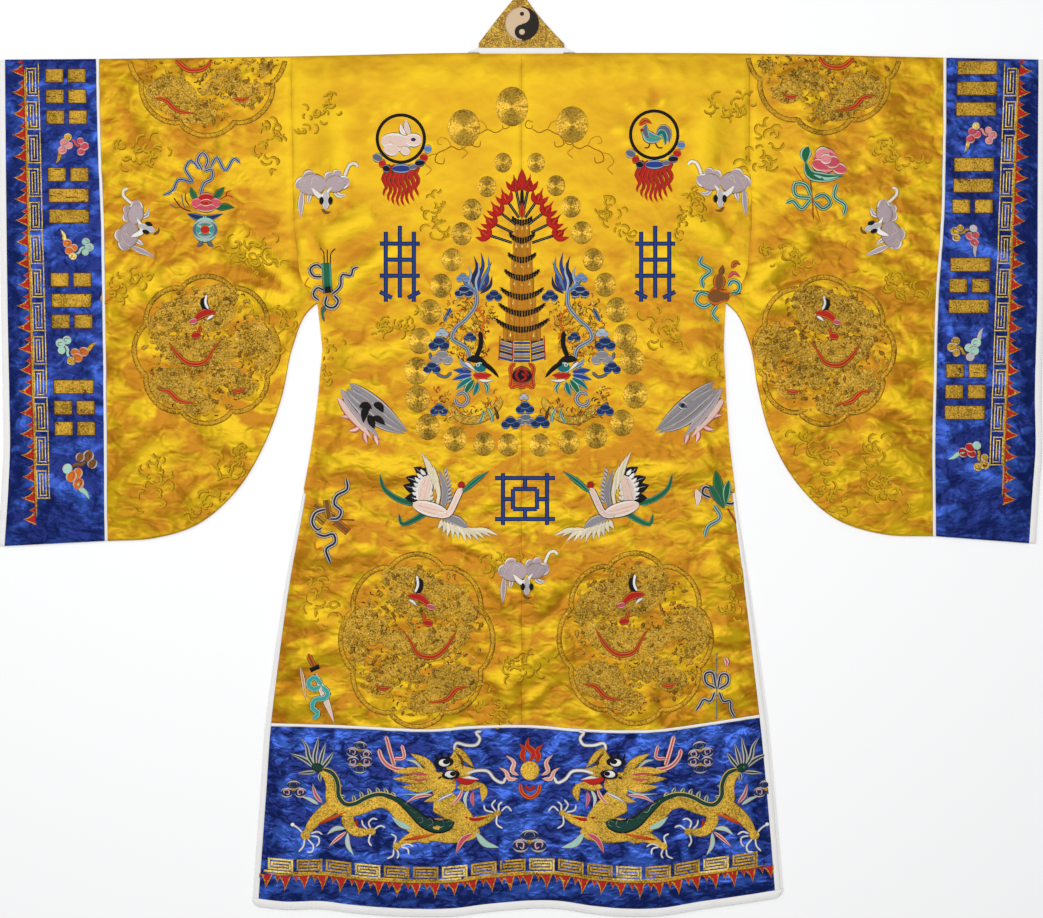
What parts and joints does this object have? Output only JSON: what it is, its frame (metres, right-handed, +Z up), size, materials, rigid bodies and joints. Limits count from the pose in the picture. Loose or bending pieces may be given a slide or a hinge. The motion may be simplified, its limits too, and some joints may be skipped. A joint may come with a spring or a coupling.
{
  "type": "taoist robe",
  "caption": "Wide-sleeved ceremonial robe of embroidered yellow satin with blue cuffs and hem band, laid flat with its back up.",
  "frame": {"origin": "centre of the robe's bounding box, on the surface that it lies on", "axes": "+X along the sleeves to the right of the picture, +Y from the hem to the collar, +Z up, out of the robe's back"},
  "size_m": [1.6736, 1.4754, 0.0125],
  "materials": {
    "yellow_satin": "satin, embroidered",
    "blue_satin": "satin, embroidered",
    "white_piping": "plain bias binding",
    "gold_brocade": "metallic thread brocade",
    "badge_satin": "satin stitch in black and white"
  },
  "bodies": {
    "root": {"body_left": "yellow_satin", "body_right": "yellow_satin", "sleeve_left": "yellow_satin", "sleeve_right": "yellow_satin", "cuff_left": "blue_satin", "cuff_right": "blue_satin", "cuff_piping_inner_left": "white_piping", "cuff_piping_inner_right": "white_piping", "cuff_piping_edge_left": "white_piping", "cuff_piping_edge_right": "white_piping", "hem_back": "blue_satin", "hem_front_left": "blue_satin", "hem_front_right": "blue_satin", "hem_piping_top_back": "white_piping", "hem_piping_top_front_left": "white_piping", "hem_piping_top_front_right": "white_piping", "hem_piping_edge_back": "white_piping", "hem_piping_edge_front_left": "white_piping", "hem_piping_edge_front_right": "white_piping", "side_piping_back_left": "white_piping", "side_piping_back_right": "white_piping", "side_piping_front_left": "white_piping", "side_piping_front_right": "white_piping", "neck_piping": "white_piping", "collar_left": "gold_brocade", "collar_right": "gold_brocade", "taiji_badge": "badge_satin"}
  },
  "joints": []
}
